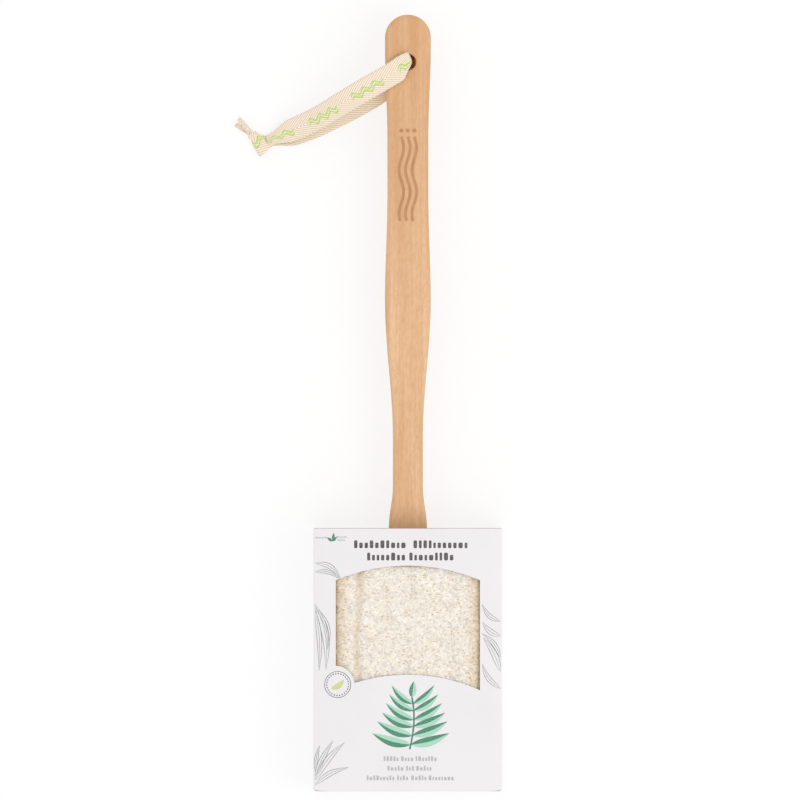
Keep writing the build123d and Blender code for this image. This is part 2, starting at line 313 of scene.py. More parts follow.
def card(name, tone, shadow, roughness):
    """Folding boxboard: a faint fibre cloud under a smooth coat."""
    n = Nodes(name, roughness=roughness, Specular_IOR_Level=0.4)
    place = n.place()
    cloud = n.noise(place, 35, detail=4)
    fibre = n.noise(n.stretched(place, 1500, 700, 1500), detail=3)
    shade = n.mix(n.remap(cloud, 0.35, 0.7, 0.0, 0.5), tone, shadow)
    shade = n.mix(n.remap(fibre, 0.5, 0.8, 0.0, 0.2), shade, shadow)
    n.colour(shade)
    n.rough(n.remap(fibre, 0.3, 0.7, roughness - 0.06, roughness + 0.08))
    n.bump(fibre, 0.02 * MM, 0.5)
    return n.material


def ink(name, tone, paper):
    """Printed ink, a little uneven where it lies on the card's fibres."""
    n = Nodes(name, roughness=0.5, Specular_IOR_Level=0.3)
    speck = n.noise(n.place(), 2200, detail=3)
    n.colour(n.mix(n.remap(speck, 0.5, 0.8, 0.0, 0.45), tone, paper))
    n.rough(n.remap(speck, 0.3, 0.7, 0.42, 0.58))
    return n.material


def woven(name, tone, pitch, depth):
    """Plain weave or thread, by position, for pieces with no map."""
    n = Nodes(name, roughness=0.85, Specular_IOR_Level=0.15, Sheen_Weight=0.2)
    x, y, z = n.split(n.place())[:3]
    turn = 2 * math.pi / pitch
    over = n.math("SINE", n.times(n.plus(x, y), turn))
    under = n.math("SINE", n.times(n.plus(z, n.times(x, 0.2)), turn))
    weave = n.remap(n.times(over, under), -1.0, 1.0)
    fuzz = n.noise(n.place(), 2600, detail=3)
    shade = n.mix(n.remap(weave, 0.0, 0.5, 0.4, 0.0), tone, srgb(206, 186, 158))
    shade = n.mix(n.remap(fuzz, 0.5, 0.8, 0.0, 0.3), shade, srgb(220, 204, 180))
    n.colour(shade)
    n.bump(n.plus(weave, n.times(fuzz, 0.4)), depth)
    return n.material


def ground(name):
    """The studio's light table: it glows, so that only a trace of shadow stays on it."""
    n = Nodes(name, roughness=0.9, Specular_IOR_Level=0.0, Emission_Strength=0.70)
    n.colour(n.mix(n.remap(n.noise(n.place(), 3), 0.3, 0.7), [0.28, 0.28, 0.28, 1], [0.30, 0.30, 0.30, 1]))
    return n.material


BEECH = wood("beech")
STAMP = wood("beech_stamped", burn=0.55)
LOOFAH_BED = loofah("loofah_bed", srgb(250, 246, 239), srgb(240, 228, 209), 0.85, 0.04 * MM)
LOOFAH_FIBRE = loofah("loofah_fibre", srgb(251, 250, 248), srgb(247, 241, 232), 0.55, 0.01 * MM)
WADDING = loofah("wadding", srgb(240, 238, 232), srgb(226, 222, 214), 0.1, 0.1 * MM)
COTTON = srgb(252, 240, 222)
TAPE = cotton("cotton_tape_printed", COTTON, printed=True)
TAPE_PLAIN = cotton("cotton_tape", COTTON)
BINDING = woven("cotton_binding", srgb(240, 232, 216), 0.9 * MM, 0.10 * MM)
THREAD = woven("cotton_thread", srgb(232, 220, 196), 0.5 * MM, 0.08 * MM)
PAPER = srgb(232, 229, 231)
COATED = card("card_coated", PAPER, srgb(227, 224, 226), 0.42)
UNCOATED = card("card_uncoated", srgb(222, 218, 212), srgb(208, 203, 195), 0.8)
DARK_INK = ink("ink_dark_grey", srgb(79, 74, 74), PAPER)
GREY_INK = ink("ink_light_grey", srgb(182, 180, 182), PAPER)
LINE_INK = ink("ink_grass_grey", srgb(104, 122, 112), PAPER)
GREEN_INK = ink("ink_green", srgb(66, 132, 106), PAPER)
MINT_INK = ink("ink_mint", srgb(164, 212, 188), PAPER)
LIME_INK = ink("ink_lime", srgb(204, 208, 140), PAPER)
FLOOR = ground("studio_floor")


# ---------------------------------------------------------------- mesh helpers
def made(name, points, faces, *materials, smooth=True):
    """A new mesh object from points and faces."""
    mesh = bpy.data.meshes.new(name)
    mesh.from_pydata([tuple(p) for p in points], [], faces)
    for material in materials:
        mesh.materials.append(material)
    mesh.polygons.foreach_set("use_smooth", [smooth] * len(mesh.polygons))
    piece = bpy.data.objects.new(name, mesh)
    bpy.context.collection.objects.link(piece)
    return piece


def loft(rings, closed=False):
    """Points and faces of a tube through rings of equal size. Its ends are capped unless it is closed."""
    count = len(rings[0])
    points = [p for ring in rings for p in ring]
    faces = []
    last = len(rings) if closed else len(rings) - 1
    for i in range(last):
        here, there = i * count, (i + 1) % len(rings) * count
        for k in range(count):
            faces.append((here + k, here + (k + 1) % count, there + (k + 1) % count, there + k))
    if not closed:
        faces.append(tuple(range(count))[::-1])
        faces.append(tuple(range(len(points) - count, len(points))))
    return points, faces


def tube(path, radius, sides, closed=False):
    """Points and faces of a round tube along a path."""
    path = [Vector(p) for p in path]
    turns = [2 * math.pi * k / sides for k in range(sides)]
    rings = []
    for i, point in enumerate(path):
        before = path[i - 1] if i or closed else point
        after = path[(i + 1) % len(path)] if i < len(path) - 1 or closed else point
        heading = (after - before).normalized()
        side = heading.cross(Vector((0, 0, 1)))
        if side.length < 0.1:
            side = heading.cross(Vector((1, 0, 0)))
        side.normalize()
        up = side.cross(heading)
        rings.append([point + (side * math.cos(a) + up * math.sin(a)) * radius for a in turns])
    return loft(rings, closed)


def joined(parts):
    """One list of points and one of faces from several."""
    points, faces = [], []
    for some_points, some_faces in parts:
        start = len(points)
        points += some_points
        faces += [tuple(start + i for i in face) for face in some_faces]
    return points, faces


def applied(piece):
    """A new mesh of a piece with its modifiers applied."""
    bpy.context.view_layer.update()
    return bpy.data.meshes.new_from_object(piece.evaluated_get(bpy.context.evaluated_depsgraph_get()))


def refine(piece):
    """Applies one level of subdivision surface."""
    piece.modifiers.new("smooth", "SUBSURF").levels = 1
    mesh = applied(piece)
    piece.modifiers.clear()
    old = piece.data
    piece.data = mesh
    bpy.data.meshes.remove(old)


def smoothstep(value, low, high):
    """Rises from 0 to 1 between low and high, with level ends."""
    t = min(max((value - low) / (high - low), 0.0), 1.0)
    return t * t * (3 - 2 * t)


def toward(turn):
    """The unit vector in the plane at an angle in radians."""
    return Vector((math.cos(turn), math.sin(turn)))


# ---------------------------------------------------------------- camera, lights and floor
def set_stage():
    """A long lens straight above, daylight from all round, and two soft lamps, the right one stronger."""
    scene = bpy.context.scene
    scene.view_settings.view_transform = "Standard"
    view_width, lens, sensor = 417.8 * MM, 800.0, 36.0
    middle_x, middle_y = -4.1 * MM, 1.4 * MM
    camera = bpy.data.objects.new("camera", bpy.data.cameras.new("camera"))
    camera.data.lens = lens
    camera.data.sensor_width = sensor
    camera.location = (middle_x, middle_y, HANDLE_FRONT + view_width * lens / sensor)
    camera.data.clip_end = 60
    scene.collection.objects.link(camera)
    scene.camera = camera

    world = bpy.data.worlds.new("daylight")
    world.use_nodes = True
    sky = world.node_tree.nodes["Background"].inputs
    sky["Color"].default_value = (1.0, 1.0, 1.0, 1.0)
    sky["Strength"].default_value = 0.93
    scene.world = world
    lamps = (("key_lamp", (0.9, -0.35, 1.3), 1.0, 4.6), ("fill_lamp", (-0.8, 0.6, 1.5), 1.4, 1.4))
    for name, place, size, power in lamps:
        lamp = bpy.data.objects.new(name, bpy.data.lights.new(name, "AREA"))
        lamp.data.size = size
        lamp.data.energy = power
        lamp.location = place
        lamp.rotation_mode = "QUATERNION"
        lamp.rotation_quaternion = (Vector(place) * -1).to_track_quat("-Z", "Y")
        scene.collection.objects.link(lamp)

    reach = 30.0
    corners = [(-reach, -reach, 0), (reach, -reach, 0), (reach, reach, 0), (-reach, reach, 0)]
    floor = made("floor", corners, [(0, 1, 2, 3)], FLOOR)
    floor.location.z = -0.2 * MM


# ---------------------------------------------------------------- hanging tape
TAPE_WIDTH = 12.0 * MM
TAPE_THICK = 0.62 * MM

# Inside the hole the tape's width lies along Y. It turns to lie across its route between these distances.
TURNING = (7.0 * MM, 18.0 * MM)

# The strands' routes, in millimetres from the hole's axis and above the floor. They start inside the hole.
FRONT_ROUTE = [
    (0.4, 0.1, 21), (0.7, 0.1, 25.2), (0.4, 0.0, 28.2), (-2.8, -2.3, 28.0), (-6.0, -4.9, 27.3),
    (-12.2, -8.5, 27.1), (-22.6, -14.4, 26.9), (-33.2, -20.7, 22.8), (-46.2, -28.7, 14.2),
    (-57.2, -33.9, 7.6), (-65.5, -37.4, 4.3), (-73.6, -40.9, 3.2),
]
BACK_ROUTE = [
    (0.1, 0.1, 21), (0.2, 0.1, 16.0), (5.4, 1.6, 15.2), (6.6, 1.8, 12.6), (1.0, -1.4, 13.2),
    (-6.2, -7.6, 14.0), (-13.7, -14.7, 13.9), (-19.1, -18.3, 12.9), (-28.4, -23.5, 9.8),
    (-39.3, -29.0, 6.2), (-50.3, -34.1, 3.6), (-60.6, -37.7, 2.0), (-73.6, -41.2, 1.8),
]
KNOT_MIDDLE = Vector((-78.1, -41.6, 2.75))
KNOT_LENGTH = 12.6
# The knot's wrap from its neck into its pocket: share along it, half width, half height, depth of its pleats.
KNOT_PROFILE = [
    (0.00, 1.5, 1.1, 0.0), (0.03, 2.1, 1.6, 0.4), (0.06, 2.8, 2.2, 0.3), (0.13, 2.9, 2.3, 0.3),
    (0.16, 2.45, 1.95, 0.8), (0.22, 2.5, 2.0, 1.0), (0.34, 3.3, 2.35, 0.9), (0.50, 4.2, 2.6, 0.7),
    (0.68, 4.7, 2.65, 0.6), (0.85, 4.8, 2.5, 0.6), (0.97, 4.6, 2.3, 0.7), (1.00, 4.3, 2.05, 0.8),
    (0.97, 3.9, 1.7, 0.9), (0.85, 3.3, 1.2, 1.0), (0.72, 2.2, 0.7, 0.6),
]
# The cut ends: heading in degrees, length in millimetres, bend in degrees, rise in millimetres.
TAILS = ((126, 9.8, 16, 1.2), (152, 9.0, -14, -0.6))


def from_hole(x, y, z):
    """A point from millimetres off the hole's axis and above the floor."""
    return Vector((HOLE.x + x * MM, HOLE.y + y * MM, z * MM))


def nurbs_line(route):
    """Points along the smooth NURBS line that has a route for its control points."""
    curve = bpy.data.curves.new("route", "CURVE")
    curve.dimensions = "3D"
    spline = curve.splines.new("NURBS")
    spline.points.add(len(route) - 1)
    for point, place in zip(spline.points, route):
        point.co = (*from_hole(*place), 1)
    spline.order_u = 3
    spline.use_endpoint_u = True
    curve.resolution_u = 14
    holder = bpy.data.objects.new("route", curve)
    mesh = bpy.data.meshes.new_from_object(holder)
    line = [v.co.copy() for v in mesh.vertices]
    bpy.data.objects.remove(holder)
    bpy.data.curves.remove(curve)
    bpy.data.meshes.remove(mesh)
    return line


def tape_section(middle, across, up, chord, arch):
    """One closed ring of a tape's section. It keeps its width in cloth as the chord narrows, by arching."""
    steps, settled, thinned = 10, 0.35, 0.35
    upper, lower = [], []
    for k in range(steps + 1):
        s = k / steps * 2 - 1
        rise = arch * (math.cos(s * math.pi / 2) - settled)
        half = TAPE_THICK / 2 * (1 - thinned * abs(s) ** 6)
        centre = middle + across * (chord / 2 * s) + up * rise
        upper.append(centre + up * half)
        lower.append(centre - up * half)
    return upper + lower[::-1]


def map_tape(piece, ring_size, distances, width=TAPE_WIDTH):
    """Writes the tape's map: distance along it, and across it."""
    layer = piece.data.uv_layers.new(name="tape")
    half = ring_size // 2
    across = [(k / (half - 1) - 0.5) * width for k in range(half)]
    across += across[::-1]
    for loop in piece.data.loops:
        ring, k = divmod(loop.vertex_index, ring_size)
        layer.data[loop.index].uv = (distances[min(ring, len(distances) - 1)], across[k])


def strand(name, line, shape, material):
    """A strand of tape along a line. shape gives its chord, arch and roll for a distance along it."""
    distances = [0.0]
    for before, after in zip(line, line[1:]):
        distances.append(distances[-1] + (after - before).length)
    total = distances[-1]
    rings = []
    lead = (line[-1] - line[0]).normalized()
    square = lead.cross(Vector((0, 0, 1))).normalized()
    for i, point in enumerate(line):
        heading = (line[min(i + 1, len(line) - 1)] - line[max(i - 1, 0)]).normalized()
        skew = 1 - smoothstep(distances[i], *TURNING)
        across = square.lerp(Vector((0, 1, 0)), skew).normalized()
        across = (across - heading * across.dot(heading) * (1 - skew)).normalized()
        up = across.cross(heading).normalized()
        chord, arch, roll = shape(distances[i], total)
        turn = math.radians(roll)
        turned = across * math.cos(turn) + up * math.sin(turn)
        raised = up * math.cos(turn) - across * math.sin(turn)
        rings.append(tape_section(point, turned, raised, chord, arch))
    points, faces = loft(rings)
    piece = made(name, points, faces, material)
    map_tape(piece, len(rings[0]), distances)
    return piece, total


def gathered(at, total, opens, narrow):
    """A strand's chord, the width that its arch takes up, and how far it has closed towards the knot."""
    opening = smoothstep(at, *opens)
    closing = smoothstep(at, total - 15 * MM, total - 1 * MM)
    chord = TAPE_WIDTH * (narrow + (1 - narrow) * opening) * (1 - 0.5 * closing)
    return chord, math.sqrt(max(TAPE_WIDTH**2 - chord**2, 0.0)), closing


def front_shape(at, total):
    """The front strand fans out of the hole, lies flat over the handle and gathers at the knot."""
    chord, slack, closing = gathered(at, total, (4.0 * MM, 9.0 * MM), 0.66)
    wave = 0.25 * MM * math.sin(at / (9 * MM))
    return chord, slack * (0.20 + 0.16 * closing) + wave, 5 * math.sin(at / (16 * MM))


def back_shape(at, total):
    """The back strand does the same, with its arch the other way while it is under the handle."""
    chord, slack, closing = gathered(at, total, (4.5 * MM, 8.0 * MM), 0.6)
    bulge = 0.5 * MM * math.sin(at / total * math.pi)
    return chord, -slack * 0.36 * (1 - closing) + bulge, 4 * math.sin(at / (20 * MM))


def tape_knot():
    """The tied tape: a wrap that gathers to a neck at the tails and opens into a pocket at its other end."""
    axis = Vector((0.66, -0.75, 0)).normalized()
    side = Vector((-axis.y, axis.x, 0))
    around, underside = 44, -2.7
    rings, distances = [], []
    for share, wide, high, pleat in KNOT_PROFILE:
        bend = 0.5 * math.sin(share * math.pi)
        ring = []
        for k in range(around):
            turn = 2 * math.pi * k / around
            fold = 1 + 0.10 * pleat * math.sin(5 * turn + 3 * share) + 0.04 * pleat * math.sin(9 * turn + 1.0)
            spot = axis * ((share - 0.5) * KNOT_LENGTH) + side * (wide * fold * math.cos(turn) + bend)
            spot.z = max(high * fold * math.sin(turn), underside)
            ring.append(from_hole(*(KNOT_MIDDLE + spot)))
        rings.append(ring)
        distances.append(share * KNOT_LENGTH * MM)
    piece = made("knot_wrap", *loft(rings), TAPE)
    layer = piece.data.uv_layers.new(name="tape")
    girth, print_shift = 22 * MM, 27 * MM
    for loop in piece.data.loops:
        ring, k = divmod(loop.vertex_index, around)
        layer.data[loop.index].uv = (k / around * girth + print_shift, distances[ring] - KNOT_LENGTH / 2 * MM)
    refine(piece)
    return piece


def tape_tails():
    """The two cut ends, each folded in half along its length and standing a little off the other."""
    neck = KNOT_MIDDLE + Vector((-4.4, 4.9, 0.2))
    steps, half_thick, fold_height = 10, 0.30, 0.55
    places = [k / 8 * 2 - 1 for k in range(9)]
    around = [(s, half_thick) for s in places] + [(s, -half_thick) for s in reversed(places)]
    parts, distances = [], []
    for turn, length, bend, rise in TAILS:
        heading = toward(math.radians(turn)).to_3d()
        rings = []
        for i in range(steps + 1):
            share = i / steps
            across = toward(math.radians(turn + bend * share)).orthogonal().to_3d()
            lift = Vector((0, 0, rise * math.sin(share * 1.6) - 0.3 * share))
            spot = neck + heading * (length * share)
            spot += across * (bend * 0.03 * share * share) + lift
            spread = 1.45 - 0.25 * share
            ring = []
            for s, skin in around:
                off = across * (spread * s)
                ring.append(from_hole(*(spot + off + Vector((0, 0, fold_height * abs(s) + skin)))))
            rings.append(ring)
            distances.append(length * i / steps * MM)
        parts.append(loft(rings))
    piece = made("tape_ends", *joined(parts), TAPE_PLAIN)
    map_tape(piece, len(around), distances, 6 * MM)
    return piece


def make_tape():
    """The hanging loop: two strands from the hole, their knot and its two tails."""
    front_line = nurbs_line(FRONT_ROUTE)
    back_line = nurbs_line(BACK_ROUTE)
    front, front_length = strand("front_strand", front_line, front_shape, TAPE)
    back, back_length = strand("back_strand", back_line, back_shape, TAPE_PLAIN)
    knot = tape_knot()
    tails = tape_tails()
    for piece in (front, back, knot, tails):
        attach(piece, "hang_loop")
    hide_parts("tape_front_strand", "tape_in_hole")
    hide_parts("tape_back_strand")
    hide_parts("tape_knot")
    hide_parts("tape_tails")


# ---------------------------------------------------------------- handle
def make_handle():
    """The CAD handle keeps its shape. It gets beech, and a burnt stamp of waves on its front."""
    handle = frame["nodes"]["handle"]
    handle.data.materials.clear()
    handle.data.materials.append(BEECH)
    stamp = Art("handle_stamp", STAMP, lambda x, y: HANDLE_FRONT)
    top, length = HOLE.y - 39.0 * MM, 44 * MM
    rows = (-3.4, 0.0, 3.4)
    for row in rows:
        wave = [(row * MM + 1.2 * MM * math.sin(t * 12), top - length * t) for t in np.linspace(0, 1, 60)]
        stamp.line([Vector(p) for p in wave], 1.5 * MM)
    for row in rows:
        stamp.dot(Vector((row * MM, top + 3.2 * MM)), 1.1 * MM)
    piece = stamp.done()
    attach(piece, "brush")


# ---------------------------------------------------------------- ink and other flat marks
class Art:
    """Flat marks on a face, built up as thin closed strips and made into one piece."""

    lift = 0.015 * MM

    def __init__(self, name, material, level, thick=0.03 * MM):
        self.name, self.material, self.level, self.thick = name, material, level, thick
        self.points, self.faces = [], []

    def strip(self, left, right, closed=False):
        """A closed slab between two lines of points."""
        start, count = len(self.points), len(left)
        for height in (self.lift, self.lift + self.thick):
            for edge in (left, right):
                self.points += [(p.x, p.y, self.level(p.x, p.y) + height) for p in edge]
        low_left, low_right, top_left, top_right = (start + count * i for i in range(4))
        for i in range(count if closed else count - 1):
            j = (i + 1) % count
            self.faces.append((top_left + i, top_right + i, top_right + j, top_left + j))
            self.faces.append((low_left + j, low_right + j, low_right + i, low_left + i))
            self.faces.append((low_left + i, top_left + i, top_left + j, low_left + j))
            self.faces.append((low_right + j, top_right + j, top_right + i, low_right + i))
        if not closed:
            end = count - 1
            self.faces.append((low_right, top_right, top_left, low_left))
            self.faces.append((low_left + end, top_left + end, top_right + end, low_right + end))

    def line(self, points, width, taper=False):
        """A stroke along points. taper narrows it towards both ends."""
        left, right = [], []
        for i, point in enumerate(points):
            heading = (points[min(i + 1, len(points) - 1)] - points[max(i - 1, 0)]).normalized()
            share = i / (len(points) - 1)
            half = width / 2 * (1 - 0.85 * abs(2 * share - 1) ** 2 if taper else 1)
            off = Vector((-heading.y, heading.x)) * half
            left.append(point + off)
            right.append(point - off)
        self.strip(left, right)

    def bar(self, x_low, x_high, y, height):
        """A bar with rounded ends."""
        half = height / 2
        corner = min(half, (x_high - x_low) / 2) * 0.7
        begin, above = x_low + corner, y + half - corner
        turns = [math.radians(18 * k) for k in range(6)]
        left = [Vector((begin - corner * math.cos(a), above + corner * math.sin(a))) for a in turns]
        left += [Vector((x_low + x_high - p.x, p.y)) for p in reversed(left)]
        right = [Vector((p.x, 2 * y - p.y)) for p in left]
        self.strip(left, right)

    def dot(self, centre, radius):
        """A filled circle."""
        turns = [math.pi * (0.02 + 0.96 * k / 12) for k in range(13)]
        left = [centre + Vector((-math.cos(a), math.sin(a))) * radius for a in turns]
        right = [centre + Vector((-math.cos(a), -math.sin(a))) * radius for a in turns]
        self.strip(left, right)

    def ring(self, centre, radius, width, start=0.0, sweep=360.0):
        """A ring, or a part of one from start on, in degrees."""
        steps = max(6, int(sweep / 6))
        closed = sweep >= 360
        turns = [math.radians(start + sweep * k / steps) for k in range(steps if closed else steps + 1)]
        left = [centre + toward(a) * (radius + width / 2) for a in turns]
        right = [centre + toward(a) * (radius - width / 2) for a in turns]
        self.strip(left, right, closed)

    def leaf(self, base, tip, width, bend=0.0, hollow=0.0, side=0):
        """A leaf. hollow draws its outline at that width, and side 1 or -1 fills only that half."""
        along = tip - base
        off = Vector((-along.y, along.x)).normalized()
        steps = 14
        spine, left, right = [], [], []
        for k in range(steps + 1):
            share = k / steps
            spot = base + along * share + off * (bend * math.sin(share * math.pi))
            swell = width / 2 * math.sin(math.pi * share**0.8) ** 0.9 + 0.02 * MM
            spine.append(spot)
            left.append(spot + off * swell)
            right.append(spot - off * swell)
        if hollow:
            self.line(left, hollow, taper=True)
            self.line(right, hollow, taper=True)
            self.line(spine, hollow * 0.8, taper=True)
        elif side:
            self.strip(left if side > 0 else spine, spine if side > 0 else right)
        else:
            self.strip(left, right)

    def done(self):
        """The marks as one piece."""
        return made(self.name, self.points, self.faces, self.material, smooth=False)


# ---------------------------------------------------------------- carton
def on_front(x, below):
    """A point on the carton's front, from millimetres off its middle line and below its top."""
    return Vector((x * MM, CARD_TOP - below * MM))


def front_level(x, y):
    """Height of the carton's front face. It bows a little between its edges."""
    bow = 0.35 * MM
    across = max(0.0, 1 - (x / CARD_HALF) ** 2)
    along = math.sin(math.pi * min(max((y - CARD_LOW) / (CARD_TOP - CARD_LOW), 0.0), 1.0))
    return CARD_FRONT + bow * across * (0.35 + 0.65 * along)


def carton_section():
    """The carton's outline seen from its end: (x, z, outward x, outward z, side) round the outside."""
    radius, low, high = 0.75 * MM, 0.0, CARD_FRONT
    corners = [(CARD_HALF, high, 0), (-CARD_HALF, high, 90), (-CARD_HALF, low, 180), (CARD_HALF, low, 270)]
    section = []
    for index, side in enumerate(("front", "left", "back", "right")):
        x, z, start = corners[index]
        next_x, next_z = corners[(index + 1) % 4][:2]
        centre_x = x - radius if x > 0 else x + radius
        centre_z = z - radius if z > low else z + radius
        for k in range(5):
            turn = math.radians(start + 90 * k / 4)
            out = (math.cos(turn), math.sin(turn))
            section.append((centre_x + out[0] * radius, centre_z + out[1] * radius, *out, None))
        level = side in ("front", "back")
        steps = 16 if level else 7
        for k in range(1, steps):
            share = k / steps
            if level:
                far = next_x + radius if next_x < 0 else next_x - radius
                section.append((centre_x + (far - centre_x) * share, z, *out, side))
            else:
                far = next_z + radius if next_z == low else next_z - radius
                section.append((x, centre_z + (far - centre_z) * share, *out, side))
    return section


def window_outline():
    """The window's edge, a closed line: two sides, two arches, and the round tongue at its lower left."""
    half = 37.6 * MM
    high_side, high_rise = CARD_TOP - 26.9 * MM, 7.6 * MM
    low_side, low_rise = CARD_TOP - 84.3 * MM, 8.1 * MM
    tongue, radius = on_front(-37.6, 81.3), 9.7 * MM

    def arch(x, side, rise):
        bend = (half * half + rise * rise) / (2 * rise)
        return side + rise - bend + math.sqrt(bend * bend - x * x)

    line = [Vector((x, arch(x, high_side, high_rise))) for x in np.linspace(-half, half, 29)]
    line += [Vector((x, arch(x, low_side, low_rise))) for x in np.linspace(half, -half, 29)]
    line = [p for p in line if (p - tongue).length > radius]
    start = math.degrees(math.asin(min(1, (line[-1].y - tongue.y) / radius)))
    crossing = tongue.y + math.sqrt(radius**2 - (tongue.x + half) ** 2)
    for turn in np.linspace(start, 90, 13):
        spot = tongue + toward(math.radians(turn)) * radius
        if spot.x > -half and spot.y < crossing:
            line.append(spot)
    line.append(Vector((-half, crossing)))
    return line


def carton_shell():
    """The folded sleeve of card, one sheet with rounded creases, cut through for the window."""
    section = carton_section()
    count, rows = len(section), 25
    # How far each side stops short of the front's bottom edge. None stands for the creases.
    ends = {"front": 0.0, "back": 0.85 * MM, "left": 1.5 * MM, "right": 1.5 * MM, None: 0.9 * MM}
    points, faces = [], []
    for skin in (0, 1):
        for row in range(rows + 1):
            for x, z, out_x, out_z, side in section:
                near_low = CARD_LOW + ends[side]
                y = near_low + (CARD_TOP - near_low) * row / rows
                lift = front_level(x, y) - CARD_FRONT if z > CARD_FRONT / 2 and out_z > 0.5 else 0.0
                points.append((x - out_x * CARD_THICK * skin, y, z - out_z * CARD_THICK * skin + lift))
    inner = (rows + 1) * count
    for row in range(rows):
        for k in range(count):
            j = (k + 1) % count
            a, b, c, d = row * count + k, row * count + j, (row + 1) * count + j, (row + 1) * count + k
            faces.append((a, d, c, b))
            faces.append((inner + a, inner + b, inner + c, inner + d))
    top = rows * count
    for k in range(count):
        j = (k + 1) % count
        faces.append((k, j, inner + j, inner + k))
        faces.append((top + k, inner + top + k, inner + top + j, top + j))
    shell = made("carton_sleeve", points, faces, COATED, UNCOATED)
    cut_window(shell)
    return shell


def cut_window(shell):
    """Cuts the window, and leaves the coat on the sleeve's outside only."""
    outline = window_outline()
    count = len(outline)
    low, high = CARD_INNER - 2 * MM, CARD_FRONT + 3 * MM
    points = [(p.x, p.y, level) for level in (low, high) for p in outline]
    faces = [tuple(range(count)), tuple(range(2 * count - 1, count - 1, -1))]
    faces += [(k, k + count, (k + 1) % count + count, (k + 1) % count) for k in range(count)]
    cutter = made("window_cutter", points, faces, UNCOATED, smooth=False)
    modifier = shell.modifiers.new("window", "BOOLEAN")
    modifier.operation = "DIFFERENCE"
    modifier.solver = "EXACT"
    modifier.object = cutter
    mesh = applied(shell)
    shell.modifiers.clear()
    shell.data = mesh
    bpy.data.objects.remove(cutter)
    mesh.materials.clear()
    mesh.materials.append(COATED)
    mesh.materials.append(UNCOATED)
    middle = Vector((0, (CARD_LOW + CARD_TOP) / 2, CARD_FRONT / 2))
    for face in mesh.polygons:
        spot, normal, away = face.center, face.normal, face.center - middle
        outward = any(normal[i] * away[i] > 0 and abs(normal[i]) > 0.5 for i in (0, 2))
        at_side = abs(spot.x) > CARD_HALF - 0.35 * MM
        at_face = spot.z > CARD_FRONT - 0.3 * MM or spot.z < 0.2 * MM
        face.material_index = 0 if outward and (at_side or at_face) else 1
    mesh.set_sharp_from_angle(angle=math.radians(40))


def make_carton():
    """The sleeve and its print. The CAD's flaps and glue tab keep their shapes and get card."""
    shell = carton_shell()
    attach(shell, "carton")
    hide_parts("carton_front_panel", "carton_back_panel", "carton_left_panel", "carton_right_panel")
    coated = ("carton_bottom_flap", "carton_tuck_lip")
    for name in ("carton_glue_tab", *coated, "dust_flap_left", "dust_flap_right"):
        node = frame["nodes"][name]
        node.data.materials.clear()
        node.data.materials.append(COATED if name in coated else UNCOATED)
    print_lines("print_heading", DARK_INK, HEADING)
    print_lines("print_small_lines", GREY_INK, SMALL_LINES)
    print_sprig()
    print_badge()
    print_grass()


def on_card(piece):
    """Gives a printed piece to the carton."""
    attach(piece, "carton")


def words(art, left, right, base, height, gaps):
    """A line of greeked words: upright blocks in groups, never lettering. gaps are shares of the line."""
    stops = [0.0, *gaps, 1.0]
    for begin, end in zip(stops, stops[1:]):
        x = left + (right - left) * begin + (height * 0.7 if begin else 0)
        stop = left + (right - left) * end
        first = True
        while x < stop - height * 0.4:
            step = min(height * random.uniform(0.42, 0.78), stop - x)
            tall = height * (1.4 if first or random.random() < 0.25 else 1.0)
            art.bar(x, x + step, base + tall / 2, tall)
            x += step + height * 0.34
            first = False


# Each line of print: left, right, base below the carton's top and height in millimetres, and its gaps.
HEADING = ((-28.0, 31.0, 10.2, 2.9, [0.49]), (-21.2, 24.2, 16.6, 2.9, [0.44]))
SMALL_LINES = (
    (-12.6, 15.4, 121.2, 1.8, [0.28, 0.55]),
    (-10.6, 13.0, 126.2, 1.8, [0.36, 0.58]),
    (-21.4, 24.2, 131.2, 1.8, [0.32, 0.48, 0.68]),
    (-48.0, -41.8, 5.2, 0.8, []),
    (-37.0, -31.8, 4.8, 0.7, []),
    (-36.6, -32.4, 6.4, 0.7, []),
)


def print_lines(name, ink_used, rows):
    """Lines of print on the carton, as plain bars."""
    art = Art(name, ink_used, front_level)
    for left, right, below, height, gaps in rows:
        words(art, left * MM, right * MM, CARD_TOP - below * MM, height * MM, gaps)
    on_card(art.done())


def print_sprig():
    """A plain two-tone sprig below the window, and a small one at the top left."""
    green = Art("print_sprig", GREEN_INK, front_level)
    mint = Art("print_sprig_light", MINT_INK, front_level)
    halves = ((green, 1), (mint, -1))
    root = on_front(1.0, 115.0)
    stem = [root + Vector((2.2 * MM * math.sin(t * 2.6), 27 * MM * t)) for t in np.linspace(0, 1, 24)]
    green.line(stem, 0.9 * MM)
    for index, share in enumerate((0.12, 0.28, 0.44, 0.60, 0.76, 0.90)):
        base = stem[int(share * 23)]
        reach = (21.5 - 11.5 * share) * MM
        rise = (5.5 + 4.0 * share) * MM
        width = 4.6 * MM * (1.15 - 0.45 * share)
        for side in (-1, 1):
            tip = base + Vector((side * reach, rise + 0.8 * MM * (index % 2)))
            for art, half in halves:
                art.leaf(base, tip, width, bend=-side * 1.2 * MM, side=half)
    for art, half in halves:
        art.leaf(stem[-1], stem[-1] + Vector((1.0 * MM, 8.4 * MM)), 3.8 * MM, side=half)
    small = on_front(-39.4, 6.6)
    green.leaf(small, small + Vector((-2.6 * MM, 2.0 * MM)), 1.4 * MM)
    green.leaf(small, small + Vector((2.4 * MM, 2.4 * MM)), 1.4 * MM)
    green.leaf(small + Vector((0.2 * MM, 0.8 * MM)), small + Vector((0.9 * MM, 4.4 * MM)), 1.3 * MM)
    on_card(green.done())
    on_card(mint.done())


